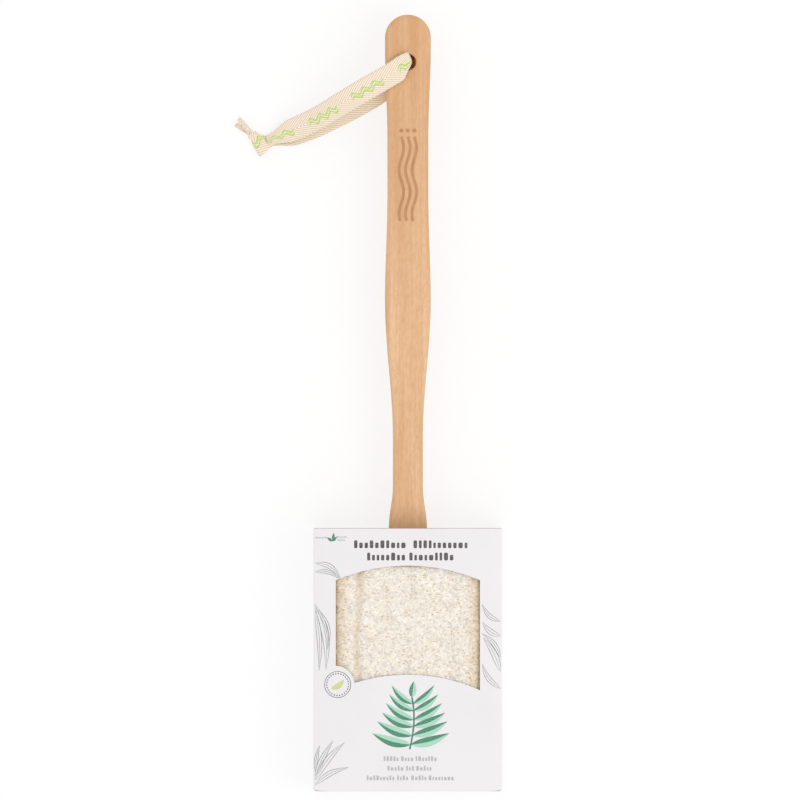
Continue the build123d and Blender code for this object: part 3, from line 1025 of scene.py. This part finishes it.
def print_badge():
    """A ring on the round tongue, with a ring of dashes and a lime leaf in it."""
    centre = on_front(-36.6, 81.3)
    dashes = 26
    rings = Art("print_badge", DARK_INK, front_level)
    rings.ring(centre, 6.8 * MM, 0.28 * MM)
    for k in range(dashes):
        rings.ring(centre, 5.7 * MM, 0.55 * MM, start=k * 360 / dashes, sweep=6.5)
    on_card(rings.done())
    leaf = Art("print_badge_leaf", LIME_INK, front_level)
    base, tip = centre + Vector((-3.3 * MM, -2.3 * MM)), centre + Vector((3.4 * MM, 2.6 * MM))
    leaf.leaf(base, tip, 2.9 * MM, bend=-0.9 * MM)
    on_card(leaf.done())


# Each blade of grass, in millimetres: side (-1 left, 1 right), base below the top, reach inward, drop to its
# tip, width and bend.
BLADES = (
    (-1, 18.0, 13.2, 8.2, 2.4, 2.6), (-1, 22.5, 12.4, 3.6, 2.0, 1.8), (-1, 39.5, 5.6, 34.0, 3.4, 2.6),
    (-1, 42.5, 2.0, 31.5, 2.4, 1.2), (-1, 41.0, 6.4, 22.0, 2.2, 3.2), (-1, 129.0, 9.4, -18.5, 2.4, 0.8),
    (-1, 131.0, 15.4, -19.5, 3.0, 1.4), (-1, 133.5, 17.4, -9.0, 2.6, 1.6), (-1, 126.5, 2.2, -13.5, 1.8, 0.5),
    (1, 48.5, 9.6, -9.0, 2.2, -1.8), (1, 56.0, 9.4, -7.2, 2.8, -1.4), (1, 67.0, 9.8, -12.4, 2.2, 1.6),
    (1, 74.5, 9.0, -17.6, 3.0, 1.2), (1, 83.5, 9.6, -13.0, 2.4, -1.8),
)


def print_grass():
    """Outlined grass blades that grow in from the carton's edges."""
    art = Art("print_grass", LINE_INK, front_level, thick=0.025 * MM)
    edge, stroke = CARD_HALF - 0.9 * MM, 0.26 * MM
    for side, below, reach, drop, width, bend in BLADES:
        base = Vector((side * edge, CARD_TOP - below * MM))
        tip = base + Vector((-side * reach * MM, -drop * MM))
        art.leaf(base, tip, width * MM, bend=-side * bend * MM, hollow=stroke)
    on_card(art.done())


# ---------------------------------------------------------------- head
def remeshed(node, name, voxel, *materials):
    """A new even mesh of a CAD node's shape."""
    source = frame["nodes"][node]
    copy = bpy.data.objects.new("remesh_source", source.data.copy())
    bpy.context.collection.objects.link(copy)
    modifier = copy.modifiers.new("voxels", "REMESH")
    modifier.mode = "VOXEL"
    modifier.voxel_size = voxel
    mesh = applied(copy)
    bpy.data.objects.remove(copy)
    mesh.name = name
    mesh.materials.clear()
    for material in materials:
        mesh.materials.append(material)
    mesh.polygons.foreach_set("use_smooth", [True] * len(mesh.polygons))
    piece = bpy.data.objects.new(name, mesh)
    bpy.context.collection.objects.link(piece)
    return piece


def groove(x, y):
    """Depth of the furrows that run down the loofah where its wall was cut open and flattened."""
    depth = 0.0
    for centre, deep, wide in FURROWS:
        wander = FURROW_SWAY * math.sin(y / FURROW_WAVE + centre) + 0.5 * math.sin(y / (6 * MM))
        away = (x / MM - centre - wander) / wide
        depth += deep * math.exp(-away * away)
    return depth * MM


# The lumps of a pad's surface: height and size in millimetres.
LUMPS = ((0.40, 11.0), (0.14, 3.1), (0.22, 1.3))


def roughen(piece, strength, crown=0.0, outer_only=True):
    """Moves a pad's surface in and out as dried fibre does. crown is how far its faces swell."""
    mesh = piece.data
    count = len(mesh.vertices)
    places = np.empty(count * 3)
    normals = np.empty(count * 3)
    mesh.vertices.foreach_get("co", places)
    mesh.vertex_normals.foreach_get("vector", normals)
    places, normals = places.reshape(-1, 3), normals.reshape(-1, 3)
    for i in range(count):
        x, y, z = places[i]
        if outer_only and not on_outside(x, y, z):
            continue
        spot = Vector((x, y, z)) / MM
        push = sum(high * noise.noise(spot / size) for high, size in LUMPS) * (strength * MM)
        level = abs(normals[i][2])
        if level > 0.6:
            rim = min(HEAD_HALF - abs(x), HEAD_TOP - HEAD_MIDDLE - abs(y - HEAD_MIDDLE))
            push += crown * MM * smoothstep(rim, 0.5 * MM, 6 * MM) - groove(x, y) * level
            push -= pulled_in(x, y)
        places[i] += normals[i] * push
    mesh.vertices.foreach_set("co", places.reshape(-1))
    mesh.update()


def pulled_in(x, y):
    """How far the lashing pulls the loofah in round its threads."""
    depth, fade_x, fade_y = 1.9 * MM, 2.2 * MM, 1.0 * MM
    along = max(0.0, abs(x) - LASHING[1].x) / fade_x
    across = max(0.0, abs(y - sum(TURNS) / 2) - (TURNS[1] - TURNS[0]) / 2 - THREAD_RADIUS) / fade_y
    return depth * math.exp(-along * along - across * across)


def on_outside(x, y, z):
    """True on the head's outer skin, and not in the hollow that holds the core."""
    skin = 6 * MM
    at_edge = abs(x) > HEAD_HALF - skin or abs(y - HEAD_MIDDLE) > HEAD_TOP - HEAD_MIDDLE - skin
    return at_edge or z > HEAD_FRONT - skin or z < HEAD_BACK + skin


def fibres(piece, amount):
    """Points and faces of loose loofah fibres that arch over a pad's skin and dive back into it."""
    mesh = piece.data
    mesh.calc_loop_triangles()
    corners = np.empty(len(mesh.loop_triangles) * 3, dtype=np.int64)
    mesh.loop_triangles.foreach_get("vertices", corners)
    corners = corners.reshape(-1, 3)
    places = np.empty(len(mesh.vertices) * 3)
    mesh.vertices.foreach_get("co", places)
    places = places.reshape(-1, 3)
    a, b, c = places[corners[:, 0]], places[corners[:, 1]], places[corners[:, 2]]
    cross = np.cross(b - a, c - a)
    area = np.linalg.norm(cross, axis=1)
    centre = (a + b + c) / 3
    keep = np.array([on_outside(*p) for p in centre])
    keep &= np.abs(centre[:, 2] - LEVEL) > 1.5 * MM
    share = area * keep
    picked = dice.choice(len(corners), amount, p=share / share.sum())
    mix = dice.dirichlet((1, 1, 1), amount)
    spots = (places[corners[picked]] * mix[:, :, None]).sum(axis=1)
    outs = cross[picked] / area[picked][:, None]
    return joined([fibre(Vector(spot), Vector(out)) for spot, out in zip(spots, outs)])


def fibre(spot, out):
    """One fibre on the skin at a spot. Most lie any way, and the rest run across the loofah's length."""
    level = out.cross(Vector((0.02, 1, 0.01))).normalized()
    other = out.cross(level)
    turn = dice.uniform(0, math.pi) if dice.random() < 0.6 else dice.normal(0, 0.4)
    heading = level * math.cos(turn) + other * math.sin(turn)
    length = dice.uniform(1.4, 3.4) * MM
    curl = dice.normal(0, 0.35) * length
    lift = dice.uniform(0.06, 0.22) * MM
    radius = dice.uniform(0.10, 0.18) * MM
    sideways = out.cross(heading)
    rings = []
    for s in (-1.0, -0.38, 0.38, 1.0):
        hump = 1 - s * s
        height = lift * (1.7 * hump - 0.75)
        middle = spot + heading * (length / 2 * s) + sideways * (curl * hump) + out * height
        taper = 0.5 + 0.5 * hump
        ring = [(sideways * math.cos(q) + out * math.sin(q)) * radius * taper for q in (0.5, 2.6, 4.7)]
        rings.append([middle + off for off in ring])
    return loft(rings)


def add_to(piece, points, faces, material_index):
    """Adds loose points and faces to a piece's mesh, with one of its materials."""
    extra = made("extra", points, faces, *piece.data.materials)
    extra.data.polygons.foreach_set("material_index", [material_index] * len(extra.data.polygons))
    both = [piece, extra]
    with bpy.context.temp_override(active_object=piece, selected_editable_objects=both, object=piece):
        bpy.ops.object.join()


def pad(node, name, amount):
    """A loofah pad: a rough bed of fibre, with loose fibres over it."""
    piece = remeshed(node, name, 0.8 * MM, LOOFAH_BED, LOOFAH_FIBRE)
    roughen(piece, 1.0, crown=1.5)
    add_to(piece, *fibres(piece, amount), 1)
    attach(piece, "brush")
    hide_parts(node)


def edge_line(proud):
    """Points round the head's edge, from the tang's right side to its left, with the way out of each."""
    corner = 18 * MM + proud
    half, low, high = HEAD_HALF + proud, HEAD_LOW - proud, HEAD_TOP + proud
    slit, pitch, steps = 10.3 * MM, 2.0 * MM, 9
    line = []

    def run(first, second, out):
        first, second = Vector(first), Vector(second)
        count = max(2, int((second - first).length / pitch))
        for k in range(count):
            line.append((first.lerp(second, k / count), Vector(out)))

    def bend(x, y, start):
        for k in range(steps):
            out = toward(math.radians(start - 90 * k / steps))
            line.append((Vector((x, y)) + out * corner, out))

    run((slit, high), (half - corner, high), (0, 1))
    bend(half - corner, high - corner, 90)
    run((half, high - corner), (half, low + corner), (1, 0))
    bend(half - corner, low + corner, 0)
    run((half - corner, low), (-half + corner, low), (0, -1))
    bend(-half + corner, low + corner, -90)
    run((-half, low + corner), (-half, high - corner), (-1, 0))
    bend(-half + corner, high - corner, -180)
    run((-half + corner, high), (-slit, high), (0, 1))
    line.append((Vector((-slit, high)), Vector((0, 1))))
    return line


# The binding's section: millimetres across the head's edge and proud of it, and whether it puckers there.
BINDING_SECTION = (
    (-7.0, 0.15, 0), (-6.6, 0.95, 1), (-4.6, 1.05, 0), (-2.3, 1.45, 1), (0, 1.6, 1), (2.3, 1.45, 1),
    (4.6, 1.05, 0), (6.6, 0.95, 1), (7.0, 0.15, 0), (4.0, -0.6, 0), (0, -0.7, 1), (-4.0, -0.6, 0),
)


def make_binding():
    """Cotton binding folded over the head's edge, puckered between its stitches."""
    rings = []
    for index, (spot, out) in enumerate(edge_line(0.0)):
        pucker = 0.18 * math.sin(index * 2.1) + 0.12 * math.sin(index * 0.7)
        ring = []
        for across, proud, loose in BINDING_SECTION:
            place = spot + out * ((proud + pucker * loose) * MM)
            ring.append((place.x, place.y, LEVEL + across * MM))
        rings.append(ring)
    piece = made("head_binding", *loft(rings), BINDING)
    refine(piece)
    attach(piece, "brush")
    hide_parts("edge_binding")


def make_stitches():
    """Two rows of stitches through the binding, each stitch a short bowed thread."""
    line = edge_line(1.0 * MM)
    parts = []
    for height in (-4.6, 4.6):
        for index in range(1, len(line) - 2, 2):
            (first, out), (second, far_out) = line[index], line[index + 1]
            path = []
            for k in range(5):
                share = k / 4
                bow = 0.34 * math.sin(share * math.pi) * MM
                place = first.lerp(second, 0.05 + 1.1 * share) + out.lerp(far_out, share) * bow
                path.append((place.x, place.y, LEVEL + height * MM + 0.12 * MM * (share - 0.5)))
            parts.append(tube(path, 0.26 * MM, 6))
    piece = made("binding_stitches", *joined(parts), THREAD)
    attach(piece, "brush")
    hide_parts("binding_thread")


def make_lashing():
    """Two turns of waxed thread that hold the head on the tang."""
    half = LASHING[1].x - THREAD_RADIUS
    corners = [(half, HEAD_FRONT), (-half, HEAD_FRONT), (-half, HEAD_BACK), (half, HEAD_BACK)]
    parts = []
    for y in TURNS:
        path = []
        for (x, z), (far_x, far_z) in zip(corners, corners[1:] + corners[:1]):
            for k in range(12):
                share = (k + 0.5) / 12
                bow = 0.25 * MM * math.sin(share * math.pi)
                path.append((x + (far_x - x) * share, y + bow * 0.5, z + (far_z - z) * share))
        parts.append(tube(path, THREAD_RADIUS, 8, closed=True))
    piece = made("lashing_thread", *joined(parts), THREAD)
    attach(piece, "brush")
    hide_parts("tang_lashing")


def make_head():
    """The loofah pads, the core between them, the binding with its stitches, and the lashing."""
    pad("loofah_front_pad", "front_loofah", 13000)
    pad("loofah_rear_pad", "rear_loofah", 8000)
    core = remeshed("core_padding", "wadding_core", 2.0 * MM, WADDING)
    roughen(core, 0.5, outer_only=False)
    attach(core, "brush")
    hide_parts("core_padding")
    make_binding()
    make_stitches()
    make_lashing()


set_stage()
make_tape()
make_handle()
make_carton()
make_head()
